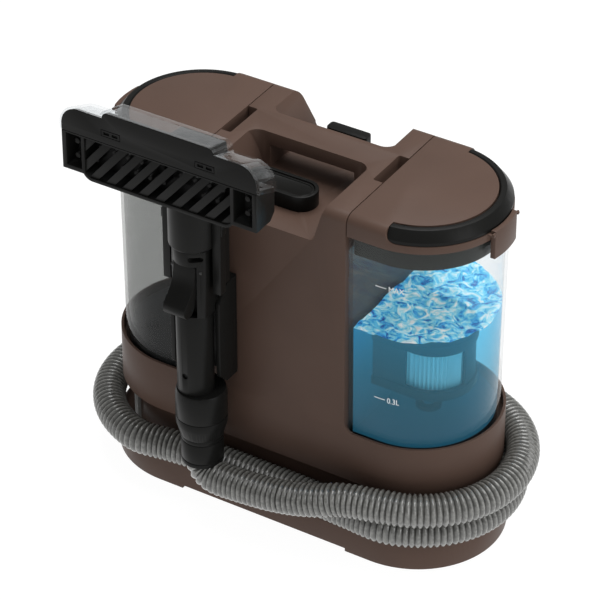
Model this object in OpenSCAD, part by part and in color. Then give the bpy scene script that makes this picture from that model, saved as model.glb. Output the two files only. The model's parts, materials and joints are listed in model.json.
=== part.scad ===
// Portable carpet and upholstery cleaner.
// X runs along the body, clean water at +X. -Y is the front, where the hand tool is stored.
// The origin is the middle of the flat underside, on the floor.

/* [Body] */
// Distance from the middle to the centre of each round end
end_x = 87; // [85:1:90]
// Radius of the round ends, half the depth of the body
body_r = 60; // [60:1:62]
// Height of the flat top
top_z = 275; // [274:1:278]
// Radius of the rounded top edge
edge_r = 7; // [5:1:8]
// Half the width of the fixed tower between the two tanks
tower_x = 63; // [62:0.5:64]
// Wall thickness of the housing
wall = 3; // [2.5:0.5:3]

/* [Base] */
// Radius of the plinth under the hose groove
base_r = 64; // [63:1:66]
// Height of the plinth
base_z = 22; // [21:1:22]
// Radius of the wall behind the hose groove
groove_r = 50; // [49:0.5:50]
// Height of the lower edge of the main housing
skirt_z = 60; // [59:1:60]

/* [Tanks] */
// Height of the rim of the cup that each tank stands in
cup_z = 100; // [98:1:102]
// Outer radius of a tank at its top
tank_r = 57.6; // [57:0.1:57.8]
// How much narrower a tank is at its foot
tank_taper = 1.4; // [1:0.1:1.8]
// Wall thickness of a tank
tank_wall = 2.2; // [1.8:0.1:2.4]
// Height where the tank ends and the lid begins
lid_z = 259.5; // [259:0.5:260]

/* [Carry handle] */
// Height of the floor of the recess under the handle
recess_z = 247; // [246:1:248]
// Front and back faces of the handle bar
bar_y = [1, 25];
// Thickness of the handle bar
bar_t = 10; // [9:0.5:11]

/* [Hand tool] */
// Position of the axis of the stored hand tool
wand_x = -39; // [-40:0.5:-38]
wand_y = -86; // [-88:0.5:-86]
// Bore of the suction passage through the tool
wand_bore = 9.5; // [9:0.5:10]
// Half the width of the nozzle head
head_half = 74.7; // [73.5:0.1:75]
// Front face of the nozzle head
head_front = -124.7; // [-125.2:0.1:-124.6]

/* [Hose] */
// Outer diameter of the corrugated suction hose
hose_d = 24; // [23:0.5:24]

/* [Hidden] */
$fn = 64;
gap = 0.4;

brown = [0.27, 0.19, 0.165];
black = [0.07, 0.07, 0.07];
charcoal = [0.16, 0.16, 0.17];
grey = [0.5, 0.5, 0.5];
clear = [0.8, 0.9, 0.95, 0.4];
smoke = [0.45, 0.45, 0.45, 0.5];
steel = [0.7, 0.7, 0.72];

cup_floor = cup_z - 11;
tank_in = tower_x + 1;
tank_foot = cup_floor + 0.5;
tank_top = lid_z - 0.3;
strip_in = 50;
strip_out = body_r - 0.4;
strip_z = top_z - 9.5;
pivot_x = end_x + 12.6;
pivot_z = top_z - 2.4;
knuckle_r = pivot_z - strip_z;
latch_pin_x = end_x + body_r + 1.4;
latch_pin_z = 265.5;
latch_half = 14.5;
slot_y = [-13, 21.6];
slot_x = 55.5;
recess_half = 46.5;
recess_foot = 39;
notch_half = 47.5;
notch_foot = 33;
button_x = -7;
button_y = -25;
button_half = 26.5;
button_r = 12;
fan_x = -8;
fan_z = 150;
trigger_pin_y = wand_y - 8;
trigger_pin_z = 217.5;
cuff_x = wand_x + 2.5;
cuff_y = wand_y + 2.5;
head_rear = head_front + 21.6;
head_split = 318;
head_end_top = 337;
head_mid_top = 341.5;
head_floor = 285.2;
split_slope = 22;

// ---- shared shapes ----

// Half an outline, from the centre line outwards, with a rounded upper corner
module rounded_profile(r, z0, z1, e) {
    translate([0, z0]) square([r, z1 - z0 - e]);
    translate([0, z0]) square([r - e, z1 - z0]);
    translate([r - e, z1 - e]) circle(e);
}

// Sweeps half an outline along a stadium whose round ends are centred c from the middle
module stadium_sweep(c) {
    for (s = [-1, 1]) translate([s * c, 0, 0]) rotate_extrude() children();
    translate([-c, 0, 0]) rotate([90, 0, 90]) linear_extrude(2 * c) mirrored_pair() children();
}

module mirrored_pair() {
    children();
    mirror([1, 0]) children();
}

module stadium(c, r, z0, z1) {
    stadium_sweep(c) translate([0, z0]) square([r, z1 - z0]);
}

// A D-shaped solid at the +X end, flat at x0 and round about the end's centre
module d_sweep(x0) {
    translate([end_x, 0, 0]) rotate([0, 0, -90]) rotate_extrude(angle = 180) children();
    translate([x0, 0, 0]) rotate([90, 0, 90]) linear_extrude(end_x - x0) mirrored_pair() children();
}

module box(x, y, z) {
    translate([x[0], y[0], z[0]]) cube([x[1] - x[0], y[1] - y[0], z[1] - z[0]]);
}

module tube(r, bore, z0, z1) {
    difference() {
        translate([0, 0, z0]) cylinder(r = r, h = z1 - z0);
        translate([0, 0, z0 - 1]) cylinder(r = bore, h = z1 - z0 + 2);
    }
}

// A flat outline with four rounded corners
module rounded_rect(x, y, r) {
    translate([x[0] + r, y[0]]) square([x[1] - x[0] - 2 * r, y[1] - y[0]]);
    translate([x[0], y[0] + r]) square([x[1] - x[0], y[1] - y[0] - 2 * r]);
    for (cx = [x[0] + r, x[1] - r], cy = [y[0] + r, y[1] - r]) translate([cx, cy]) circle(r);
}

module slab(x, y, z, r) {
    translate([0, 0, z[0]]) linear_extrude(z[1] - z[0]) rounded_rect(x, y, r);
}

module at_wand() {
    translate([wand_x, wand_y, 0]) children();
}

module left_side() {
    mirror([1, 0, 0]) children();
}

// ---- base ----

screw_places = [for (x = [-70, 0, 70], y = [-34, 34]) [x, y]];
foot_places = [for (x = [-105, 105], y = [-36, 36]) [x, y]];

module base_pan() {
    color(brown) difference() {
        stadium_sweep(end_x) rounded_profile(base_r, 0, base_z, 3);
        stadium(end_x, base_r - wall, 5, base_z - 4);
        stadium(end_x, groove_r - 5, 4.5, base_z + 1);
        for (s = [-1, 1]) box([-67, 67], s > 0 ? [51, 70] : [-70, -51], [-1, 2.5]);
        for (p = foot_places) translate([p[0], p[1], -1]) cylinder(r = 9, h = 3.5);
        for (p = screw_places) translate([p[0], p[1], -1]) cylinder(r = 4, h = 3);
        for (p = screw_places) translate([p[0], p[1], -1]) cylinder(r = 1.8, h = 10);
    }
}

module rubber_feet() {
    color(black) for (p = foot_places) translate([p[0], p[1], 0]) cylinder(r = 9, h = 2.5);
}

module base_screws() {
    color(steel) for (p = screw_places) translate([p[0], p[1], 0.6]) {
        difference() {
            cylinder(r = 3.6, h = 1.4);
            translate([-0.6, -2.4, -1]) cube([1.2, 4.8, 1.8]);
            translate([-2.4, -0.6, -1]) cube([4.8, 1.2, 1.8]);
        }
        translate([0, 0, 1.4]) cylinder(r = 1.6, h = 18);
    }
}

// ---- main housing ----

// Front view of the recess and of the notch: drafted sides and round lower corners
module drafted_view(foot, half, corner) {
    polygon([[-foot, recess_z + corner], [foot, recess_z + corner], [half, top_z + 1], [-half, top_z + 1]]);
    translate([-foot + corner, recess_z]) square([2 * (foot - corner), corner + 1]);
    for (s = [-1, 1]) translate([s * (foot - corner), recess_z + corner]) circle(corner);
}

module recess_plan_view() {
    corner = 9;
    translate([-recess_half, -70]) square([2 * recess_half, 70 + bar_y[0] - corner]);
    translate([-recess_half + corner, bar_y[0] - corner - 1]) square([2 * (recess_half - corner), corner + 1]);
    for (s = [-1, 1]) translate([s * (recess_half - corner), bar_y[0] - corner]) circle(corner);
}

module notch_plan_view() {
    corner = 9;
    translate([-notch_half, bar_y[1] + corner]) square([2 * notch_half, 50]);
    translate([-notch_half + corner, bar_y[1]]) square([2 * (notch_half - corner), corner + 1]);
    for (s = [-1, 1]) translate([s * (notch_half - corner), bar_y[1] + corner]) circle(corner);
}

module handle_recess_cut() {
    intersection() {
        translate([0, bar_y[0], 0]) rotate([90, 0, 0]) linear_extrude(90)
            drafted_view(recess_foot, recess_half, 4);
        translate([0, 0, recess_z - 1]) linear_extrude(60) recess_plan_view();
    }
    intersection() {
        translate([0, 100, 0]) rotate([90, 0, 0]) linear_extrude(100 - bar_y[1])
            drafted_view(notch_foot, notch_half, 6);
        translate([0, 0, recess_z - 1]) linear_extrude(60) notch_plan_view();
    }
    slab([-notch_foot, notch_foot], [-20, 52], [recess_z, top_z - bar_t], 5);
}

// Wall behind the hose groove, with the floor that the base pan is screwed to
module chassis() {
    lip = [groove_r - wall - 0.3, groove_r - wall - 2];
    color(brown) difference() {
        union() {
            stadium(end_x, groove_r, base_z, skirt_z);
            stadium(end_x, lip[0], base_z + 1, skirt_z + 6);
            for (p = screw_places) translate([p[0], p[1], 5]) cylinder(r = 4.5, h = 19);
        }
        stadium(end_x, groove_r - wall, base_z + 3, skirt_z - 3);
        stadium(end_x, lip[1], base_z + 3, skirt_z + 7);
        translate([40, 70, 36]) rotate([90, 0, 0]) cylinder(r = 9, h = 30);
        for (p = screw_places) translate([p[0], p[1], 4]) cylinder(r = 1.6, h = 17);
    }
}

module main_housing() {
    color(brown) difference() {
        union() {
            translate([-tower_x, 0, 0]) rotate([90, 0, 90]) linear_extrude(2 * tower_x)
                mirrored_pair() rounded_profile(body_r, skirt_z, top_z, edge_r);
            stadium(end_x, body_r, skirt_z, cup_z);
            for (s = [-1, 1], t = [-1, 1]) window_corner(s, t);
        }
        box([-tower_x + wall, tower_x - wall], [-56.5, 56.5], [skirt_z + 4, recess_z - 8]);
        stadium(end_x, groove_r - wall, skirt_z - 1, cup_floor - wall);
        stadium(end_x, body_r - wall, skirt_z + wall, cup_floor - wall);
        d_sweep(tower_x) translate([0, cup_floor]) square([tank_r + 0.5, 20]);
        left_side() d_sweep(tower_x) translate([0, cup_floor]) square([tank_r + 0.5, 20]);
        handle_recess_cut();
        for (s = [-1, 1]) finger_slot(s);
        for (s = [-1, 1]) translate([button_x + s * 18, button_y, recess_z - 12]) cylinder(r = 2, h = 20);
        translate([button_x, button_y, recess_z - 12]) cylinder(r = 5, h = 20);
        box([-28, 28], [50, 70], [140, 200]);
        translate([-45, 70, 78]) rotate([90, 0, 0]) cylinder(r = 8, h = 30);
        translate([95, 0, cup_floor - 10]) cylinder(r = 7, h = 20);
        for (y = [-28, 28]) translate([-tower_x - 5, y, 217]) rotate([0, 90, 0]) cylinder(r = 9, h = 12);
    }
}

// Round inner corner where the tower meets the rim of a cup, on the outer skin only
module window_corner(s, t) {
    r = 8;
    skin = 1.9;
    x = s * tower_x;
    translate([0, t > 0 ? body_r : -body_r + skin, 0]) rotate([90, 0, 0]) linear_extrude(skin)
        difference() {
            translate([s > 0 ? x - 1 : x - r, cup_z - 1]) square([r + 1, r + 1]);
            translate([x + s * r, cup_z + r]) circle(r);
        }
}

module finger_slot(s) {
    x = s > 0 ? [slot_x, tower_x + 2] : [-tower_x - 2, -slot_x];
    slab(x, slot_y, [top_z - 12, top_z + 1], 1.4);
}

module handle_grip() {
    color(charcoal) slab([-29, 29], [bar_y[0] + 4, bar_y[1] - 4], [top_z - bar_t - 1.5, top_z - bar_t], 4);
}

module oval(r, half, z0, z1) {
    translate([button_x, button_y, 0]) stadium(half - r, r, z0, z1);
}

module button_bezel() {
    color(black) difference() {
        union() {
            oval(button_r, button_half, recess_z, recess_z + 11.5);
            for (s = [-1, 1]) translate([button_x + s * 18, button_y, recess_z - 8]) cylinder(r = 2, h = 9);
        }
        oval(button_r - 2.6, button_half - 2.6, recess_z + 4, recess_z + 13);
        translate([button_x, button_y, recess_z - 3]) cylinder(r = 4.6, h = 20);
    }
}

module power_button() {
    color(black) difference() {
        union() {
            oval(button_r - 3, button_half - 3, recess_z + 8, recess_z + 10.6);
            translate([button_x, button_y, recess_z - 10]) cylinder(r = 4, h = 19);
        }
        oval(button_r - 4.6, button_half - 4.6, recess_z + 10, recess_z + 12);
    }
}

module button_spring() {
    color(steel) translate([button_x, button_y, 0]) tube(5.4, 4.7, recess_z + 4, recess_z + 8);
}

module cord_hook() {
    color(black) difference() {
        slab([-25, 7], [body_r, body_r + 9], [226, 250.5], 2.5);
        box([-27, 9], [body_r + 3, body_r + 6], [225, 245]);
        box([-26, 8], [body_r - 1, body_r + 0.01], [225, 251]);
    }
}

// ---- tool cradle and hose fittings on the housing ----

cradle_sides = [-22.3, 17.6];
cradle_z = [119, 199];

module tool_cradle() {
    cheek = 3.2;
    front = -82;
    x = [wand_x + cradle_sides[0], wand_x + cradle_sides[1]];
    color(black) {
        slab(x, [-body_r - 4, -body_r], cradle_z, 1.5);
        for (c = [[x[0], x[0] + cheek], [x[1] - cheek, x[1]]]) translate([c[0], 0, 0])
            rotate([90, 0, 90]) linear_extrude(c[1] - c[0])
                polygon([[-body_r - 3, cradle_z[0]], [front + 8, cradle_z[0]], [front, cradle_z[0] + 8],
                         [front, cradle_z[1] - 12], [front + 10, cradle_z[1]], [-body_r - 3, cradle_z[1]]]);
    }
}

module hose_port() {
    color(black) {
        difference() {
            slab([28, 62], [groove_r, 78], [base_z, 43.6], 3);
            translate([30, 66, 34]) rotate([0, 90, 0]) cylinder(r = 8, h = 40);
            translate([40, 30, 36]) rotate([-90, 0, 0]) cylinder(r = 8.9, h = 36);
        }
        difference() {
            translate([40, groove_r, 36]) rotate([90, 0, 0]) cylinder(r = 8.9, h = 8);
            translate([40, groove_r + 1, 36]) rotate([90, 0, 0]) cylinder(r = 7, h = 10);
        }
    }
}

module hose_clips() {
    color(grey) for (s = [-1, 1]) translate([s * end_x, 0, 0]) rotate([0, 0, s > 0 ? -10 : 225])
        difference() {
            rotate([0, 0, -7]) rotate_extrude(angle = 14) translate([groove_r, base_z]) square([2.4, 32]);
            translate([groove_r + 1.2, 0, 45]) rotate([0, 90, 0]) cylinder(r = 2, h = 10);
        }
}

module vent_grille() {
    color(black) difference() {
        union() {
            box([-28, 28], [56.5, body_r], [140, 200]);
            box([-31, 31], [body_r, body_r + 1.5], [137, 203]);
        }
        for (i = [0 : 7]) box([-24, 24], [50, 70], [144 + i * 7, 147.5 + i * 7]);
    }
}

module cord_inlet() {
    color(black) translate([-45, 56, 78]) rotate([-90, 0, 0]) difference() {
        union() {
            cylinder(r = 8, h = 4);
            translate([0, 0, 4]) cylinder(r = 11, h = 4);
        }
        translate([0, 0, -1]) cylinder(r = 4, h = 12);
    }
}

// ---- machinery inside the tower ----

module motor_bracket() {
    color(charcoal) difference() {
        box([-tower_x + wall, tower_x - wall], [-56.5, 56.5], [fan_z - 6, fan_z]);
        translate([fan_x, 0, fan_z - 7]) cylinder(r = 30, h = 8);
        for (y = [-28, 28]) translate([-50, y, fan_z - 7]) cylinder(r = 9.4, h = 8);
        translate([48, 30, fan_z - 7]) cylinder(r = 4, h = 8);
    }
}

module suction_motor() {
    color(steel) translate([fan_x, 0, 0]) difference() {
        union() {
            translate([0, 0, fan_z - 62]) cylinder(r = 30, h = 62);
            translate([0, 0, fan_z - 70]) cylinder(r = 12, h = 9);
        }
        translate([0, 0, fan_z - 64]) cylinder(r = 4.2, h = 80);
    }
}

module fan_housing() {
    color(charcoal) translate([fan_x, 0, 0]) difference() {
        translate([0, 0, fan_z]) cylinder(r = 40.4, h = 30);
        translate([0, 0, fan_z + 3]) cylinder(r = 37.6, h = 24);
        translate([0, 0, fan_z - 1]) cylinder(r = 5, h = 5);
        translate([0, 0, fan_z + 26]) cylinder(r = 14, h = 5);
        translate([-6, 33, fan_z + 5]) cube([24, 12, 20]);
    }
}

module impeller() {
    color(steel) translate([fan_x, 0, 0]) difference() {
        union() {
            translate([0, 0, fan_z + 5]) cylinder(r = 36, h = 2);
            translate([0, 0, fan_z + 5]) cylinder(r = 8, h = 16);
            for (i = [0 : 7]) rotate([0, 0, i * 45]) translate([7, -1, fan_z + 6]) cube([28, 2, 12]);
        }
        translate([0, 0, fan_z + 4]) cylinder(r = 4, h = 20);
    }
}

module motor_shaft() {
    color(steel) translate([fan_x, 0, fan_z - 58]) cylinder(r = 4, h = 80);
}

module water_pump() {
    color(charcoal) {
        box([20, 58], [-43, -15], [25, 56]);
        translate([39, -29.5, 56]) cylinder(r = 13, h = 12);
        translate([58, -30, 40]) rotate([0, 90, 0]) cylinder(r = 3, h = 6);
    }
}

module pump_line() {
    color(grey) {
        translate([64, -30, 40]) rotate([0, 90, 0]) cylinder(r = 3, h = 31);
        translate([95, -30, 36]) cylinder(r = 3.6, h = 42);
        translate([95, -30, 70]) rotate([-90, 0, 0]) cylinder(r = 2.5, h = 26);
        difference() {
            translate([95, 0, 64]) cylinder(r = 6.8, h = cup_floor - 64.2);
            translate([95, 0, 76]) cylinder(r = 3.5, h = 40);
        }
    }
}

module recovery_duct() {
    color(grey) difference() {
        union() {
            translate([-50, -28, 66]) cylinder(r = 9.2, h = 160);
            translate([-60.5, -28, 217]) rotate([0, 90, 0]) cylinder(r = 8.8, h = 12);
            translate([-50, -28, 66]) sphere(9.2);
            translate([-50, -28, 66]) rotate([0, 90, 0]) cylinder(r = 9.2, h = 60);
        }
        translate([-50, -28, 67]) cylinder(r = 7.2, h = 157);
        translate([-64, -28, 217]) rotate([0, 90, 0]) cylinder(r = 7, h = 12);
        translate([-50, -28, 66]) rotate([0, 90, 0]) cylinder(r = 7.2, h = 62);
    }
}

module suction_duct() {
    color(grey) difference() {
        union() {
            translate([-60.5, 28, 217]) rotate([0, 90, 0]) cylinder(r = 8.8, h = 50);
            translate([fan_x, 28, 217]) rotate([90, 0, 0]) cylinder(r = 8.8, h = 30);
            translate([fan_x, 28, 217]) sphere(8.8);
            translate([fan_x, 0, fan_z + 30]) cylinder(r = 14, h = 44);
        }
        translate([-64, 28, 217]) rotate([0, 90, 0]) cylinder(r = 7, h = 56);
        translate([fan_x, 28, 217]) rotate([90, 0, 0]) cylinder(r = 7, h = 29);
        translate([fan_x, 0, fan_z + 29]) cylinder(r = 12, h = 43);
    }
}

module control_board() {
    color([0.1, 0.35, 0.2]) box([-30, 30], [54.9, 56.5], [84, 130]);
    color(charcoal) {
        box([-22, -8], [46, 54.9], [90, 112]);
        box([6, 24], [44, 54.9], [96, 118]);
        translate([0, 54.9, 122]) rotate([90, 0, 0]) cylinder(r = 5, h = 10);
    }
}

// ---- tanks ----

// Half outline of a tank at a distance t inside its outer skin
module tank_profile(t, z0, z1) {
    foot_r = tank_r - tank_taper - t;
    polygon([[0, z0], [foot_r, z0], [tank_r - t, z1], [0, z1]]);
}

module tank_shell() {
    difference() {
        d_sweep(tank_in) tank_profile(0, tank_foot, tank_top);
        d_sweep(tank_in + tank_wall) tank_profile(tank_wall, tank_foot - 1, tank_top + 1);
    }
}

module tank_ledge() {
    d_sweep(tank_in + tank_wall) translate([0, tank_foot]) square([tank_r - tank_taper - tank_wall - 0.4, 8]);
}

module clean_tank() {
    color(clear) tank_shell();
}

module clean_tank_base() {
    color(charcoal) difference() {
        union() {
            tank_ledge();
            translate([95, 0, tank_foot + 7]) cylinder(r = 9, h = 4);
        }
        translate([95, 0, tank_foot - 1]) cylinder(r = 4, h = 30);
    }
}

filter_x = 98;
filter_z = [123, 168];
filter_r = 30;

module filter_outline(r) {
    inner = tank_in + tank_wall;
    translate([filter_x, 0]) circle(r);
    translate([inner, -r]) square([filter_x - inner, 2 * r]);
}

module filter_housing() {
    color(charcoal) difference() {
        union() {
            translate([0, 0, filter_z[0]]) linear_extrude(filter_z[1] - filter_z[0])
                filter_outline(filter_r - 1.5);
            translate([0, 0, filter_z[0]]) linear_extrude(7) filter_outline(filter_r);
            translate([0, 0, filter_z[1] - 8]) linear_extrude(8) filter_outline(filter_r);
        }
        translate([0, 0, filter_z[0] + 3]) linear_extrude(33) filter_outline(filter_r - 4);
        box([92, 140], [-40, -6], [filter_z[0] + 7, filter_z[1] - 8]);
        translate([filter_x, 0, filter_z[1] - 3]) cylinder(r = 15, h = 5);
        translate([filter_x, 0, filter_z[0] - 1]) cylinder(r = 6, h = 6);
    }
}

module pleated_filter() {
    color([0.85, 0.85, 0.83]) difference() {
        translate([0, 0, filter_z[0] + 3.1]) linear_extrude(32.8) filter_outline(filter_r - 4.4);
        translate([filter_x, 0, filter_z[0] + 2]) cylinder(r = 16, h = 60);
    }
}

// ---- lids ----

// The lid shell over one end, with the groove that the bail handle lies in
pin_y = sqrt(pow(strip_in, 2) - pow(pivot_x - end_x, 2));

module lid_shell() {
    groove_in = strip_in - 0.7;
    color(brown) difference() {
        d_sweep(tower_x + 0.8) rounded_profile(body_r, lid_z, top_z, edge_r);
        d_sweep(tank_in + tank_wall + 2) translate([0, lid_z - 1]) square([47, top_z - wall - lid_z + 1]);
        intersection() {
            translate([end_x, 0, 0]) rotate([0, 0, -90]) rotate_extrude(angle = 180)
                translate([groove_in, strip_z - gap]) square([30, 30]);
            handle_reach(gap);
        }
        for (s = [-1, 1]) translate([pivot_x, s > 0 ? pin_y - 4 : -pin_y + 4, pivot_z])
            rotate([s > 0 ? -90 : 90, 0, 0]) cylinder(r = 1.65, h = 8);
    }
    color(brown) for (s = [-1, 1]) translate([0, s * 16.2, 0]) difference() {
        box([latch_pin_x - 5.5, latch_pin_x + 1], [-1, 1], [latch_pin_z - 1.6, latch_pin_z - 0.2]);
        translate([latch_pin_x, 3, latch_pin_z]) rotate([90, 0, 0]) cylinder(r = 0.8, h = 6);
    }
}

// Space taken by the bail handle and by its round tips, lengthwise
module handle_reach(extra) {
    box([pivot_x - extra, end_x + body_r + 5], [-90, 90], [200, 300]);
    translate([pivot_x, 0, pivot_z]) rotate([90, 0, 0])
        cylinder(r = knuckle_r + extra, h = 200, center = true);
}

module lid_seal() {
    color(charcoal) difference() {
        union() {
            d_sweep(tank_in + tank_wall + gap) translate([0, lid_z - 16])
                square([tank_r - tank_wall - gap - 0.3, 13]);
            d_sweep(tank_in) translate([0, tank_top]) square([tank_r, lid_z - tank_top]);
            d_sweep(tank_in + tank_wall + gap + 0.6) translate([0, lid_z - 4])
                square([tank_r - tank_wall - 1.6, 4]);
        }
        d_sweep(tank_in + tank_wall + 4) translate([0, lid_z - 20]) square([45, 40]);
    }
}

// The bail handle: a bevelled strip round the end with a knuckle at each tip
module strip_profile() {
    polygon([[strip_in, strip_z], [strip_out, strip_z], [strip_out, strip_z + 2.5],
             [strip_out - 5, top_z - 0.4], [strip_in + 1, top_z], [strip_in, top_z - 1]]);
}

module bail_handle() {
    color(black) {
        intersection() {
            translate([end_x, 0, 0]) rotate([0, 0, -90]) rotate_extrude(angle = 180) strip_profile();
            handle_reach(0);
        }
        for (s = [-1, 1]) translate([pivot_x, s * (pin_y - 0.4), pivot_z]) rotate([90, 0, 0])
            cylinder(r = 1.6, h = 6, center = true);
    }
}

module lid_latch() {
    color(brown) difference() {
        intersection() {
            translate([end_x, 0, 0]) tube(body_r + 3.6, body_r + 0.4, 245.8, latch_pin_z + 1.6);
            box([end_x, end_x + 80], [-latch_half, latch_half], [240, 280]);
        }
        translate([latch_pin_x, 30, latch_pin_z]) rotate([90, 0, 0]) cylinder(r = 0.85, h = 60);
    }
}

module clean_lid() {
    lid_shell();
    latch_pin();
}

module latch_pin() {
    color(steel) translate([latch_pin_x, 17.1, latch_pin_z]) rotate([90, 0, 0]) cylinder(r = 0.8, h = 34.2);
}

module clean_lid_seal() {
    lid_seal();
}

module clean_handle() {
    bail_handle();
}

module clean_latch() {
    lid_latch();
}

module dirty_lid() {
    left_side() clean_lid();
}

module dirty_lid_seal() {
    left_side() lid_seal();
}

module dirty_handle() {
    left_side() bail_handle();
}

module dirty_latch() {
    left_side() lid_latch();
}

module dirty_tank() {
    color(smoke) left_side() difference() {
        tank_shell();
        for (y = [-28, 28]) translate([tank_in - 1, y, 217]) rotate([0, 90, 0]) cylinder(r = 8, h = 5);
    }
}

module dirty_tank_base() {
    color(charcoal) left_side() {
        tank_ledge();
        translate([118, -22, tank_foot + 7]) cylinder(r = 5, h = 5);
    }
}

// Pipe that carries the dirty water from the hose duct down into the tank
module standpipe() {
    x = -(tank_in + tank_wall + 11);
    color(charcoal) difference() {
        union() {
            translate([x, -28, 150]) cylinder(r = 10.5, h = 82);
            translate([x, -28, 217]) rotate([0, 90, 0]) cylinder(r = 9, h = 11);
        }
        translate([x, -28, 149]) cylinder(r = 8.5, h = 81);
        translate([x, -28, 217]) rotate([0, 90, 0]) cylinder(r = 7, h = 12);
    }
}

float_x = -79;
float_y = 28;

module float_cage() {
    color(charcoal) difference() {
        union() {
            translate([float_x, float_y, 176]) cylinder(r = 12.5, h = 56);
            translate([float_x, float_y, 217]) rotate([0, 90, 0]) cylinder(r = 9, h = 12.8);
        }
        translate([float_x, float_y, 178]) cylinder(r = 10.5, h = 52);
        translate([float_x, float_y, 217]) rotate([0, 90, 0]) cylinder(r = 7, h = 14);
        for (a = [45 : 90 : 315]) translate([float_x, float_y, 180]) rotate([0, 0, a])
            translate([0, -3, 0]) cube([20, 6, 20]);
        translate([float_x, float_y, 170]) cylinder(r = 5, h = 10);
    }
}

module float_ball() {
    color([0.85, 0.45, 0.15]) translate([float_x, float_y, 178.2 + 8.8]) sphere(8.8);
}

// ---- suction hose ----

hose_r = hose_d / 2;
hose_low_r = 66;
hose_front_y = -62.4;
hose_left_r = 74;
hose_high_r = 73;
hose_low_z = 36;
hose_high_z = 58.5;

function arc(cx, r0, r1, z0, z1, a0, a1, n) = [for (i = [0 : n])
    let (t = i / n, a = a0 + (a1 - a0) * t, r = r0 + (r1 - r0) * t)
    [cx + r * cos(a), r * sin(a), z0 + (z1 - z0) * t]];

hose_route = concat(
    [[62, 66, 35]],
    arc(end_x, hose_low_r, hose_low_r, 35, hose_low_z, 90, -80, 9),
    [[70, -64, hose_low_z], [30, hose_front_y, hose_low_z], [-10, hose_front_y, hose_low_z],
     [-45, hose_front_y, hose_low_z], [-75, -65, hose_low_z]],
    arc(-end_x, 69, hose_left_r, hose_low_z, 37, -100, -270, 10),
    [[-60, 73.5, 39.5], [-20, 73, 48], [15, 73, 56], [50, 73, hose_high_z]],
    arc(end_x, hose_high_r, hose_high_r, hose_high_z, hose_high_z, 90, -80, 10),
    [[75, -77.5, 57.4], [58, -82, 53.4], [40, -85, 49.4], [22, -86.5, 46.6], [5, -87, 45],
     [-10, -87, 43.8], [-20, -86.8, 43.2], [-27.5, -86, 43.8], [-32.8, -85, 46.4],
     [-35.6, -84.2, 50], [cuff_x, cuff_y, 54]]
);

function clamp_index(p, i) = p[max(0, min(len(p) - 1, i))];
function unit(v) = v / norm(v);

module swept_tube(path, r, sides) {
    count = len(path);
    ahead = [for (i = [0 : count - 1]) i == 0 ? [1, 0, 0] : i == count - 1 ? [0, 0, 1]
        : unit(path[i + 1] - path[i - 1])];
    // The side vector is carried from ring to ring, so that the tube never twists
    side = [for (i = 0, v = [0, 1, 0]; i < count; i = i + 1,
        v = unit(v - (v * clamp_index(ahead, i)) * clamp_index(ahead, i))) v];
    rings = [for (i = [0 : count - 1]) let (rise = cross(side[i], ahead[i]))
        [for (k = [0 : sides - 1])
            path[i] + r * (cos(360 * k / sides) * side[i] + sin(360 * k / sides) * rise)]];
    walls = [for (i = [0 : count - 2], k = [0 : sides - 1])
        let (n = (k + 1) % sides)
        [i * sides + k, (i + 1) * sides + k, (i + 1) * sides + n, i * sides + n]];
    first_cap = [for (k = [0 : sides - 1]) k];
    last_cap = [for (k = [0 : sides - 1]) (count - 1) * sides + sides - 1 - k];
    polyhedron([for (ring = rings, p = ring) p], concat(walls, [first_cap, last_cap]), convexity = 6);
}

module hose() {
    color(grey) swept_tube(hose_route, hose_r, 10);
}

// ---- hand tool ----

module at_cuff() {
    translate([cuff_x, cuff_y, 0]) children();
}

module hose_cuff() {
    color(black) at_cuff() difference() {
        tube(15, wand_bore, 54, 77);
        for (z = [57, 73]) translate([0, 0, z]) tube(16, 14.6, 0, 0.8);
    }
}

module swivel_coupling() {
    color(black) at_cuff() difference() {
        rotate_extrude() polygon([[wand_bore - 1, 77], [15.3, 77], [18, 87], [18, 110.5], [17, 115],
                                  [wand_bore - 1, 115]]);
        translate([0, 0, 92.5]) tube(19, 17.6, 0, 0.6);
    }
}

module lower_tube() {
    color(black) at_wand() difference() {
        tube(12.8, wand_bore, 115, 181);
        rotate([0, 0, -92]) translate([11.2, 0, 131]) rotate([0, 90, 0]) cylinder(r = 2.3, h = 3);
    }
}

housing_z = [181, 234];
slot_half = 9.2;
slot_back = -4.5;

module trigger_housing() {
    color(black) at_wand() difference() {
        translate([0, 0, housing_z[0]]) linear_extrude(housing_z[1] - housing_z[0]) {
            rounded_rect([-13.3, 13.9], [-8.8, 8], 4);
            circle(13.8);
        }
        translate([0, 4.2, housing_z[0] - 1]) cylinder(r = 7, h = 80);
        box([-slot_half, slot_half], [-20, slot_back], [housing_z[0] - 1, 222.6]);
        translate([8.5, -6, 228.4]) rotate([90, 0, 0]) linear_extrude(9) stadium_outline(2.6, 1.9);
        translate([-12, trigger_pin_y - wand_y, trigger_pin_z]) rotate([0, 90, 0]) cylinder(r = 1.25, h = 24);
    }
}

module stadium_outline(half, r) {
    square([2 * half, 2 * r], center = true);
    for (s = [-1, 1]) translate([s * half, 0]) circle(r);
}

module upper_sleeve() {
    color(black) at_wand() rotate_extrude() polygon([
        [wand_bore, housing_z[1]], [14.6, housing_z[1]], [16.6, housing_z[1] + 2], [16.6, 300],
        [wand_bore, 300]]);
}

module back_shell() {
    shell = [200, 292];
    color(black) at_wand() difference() {
        union() {
            slab([-23, 23], [-2.5, 4.5], shell, 1);
            slab([-18, 18], [2, 19.5], shell, 4);
            for (s = [-1, 1]) box(s > 0 ? [22, 24] : [-24, -22], [-1.5, 3.5], [247, 254]);
        }
        translate([0, 0, 199]) cylinder(r = 17, h = 100);
    }
}

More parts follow.
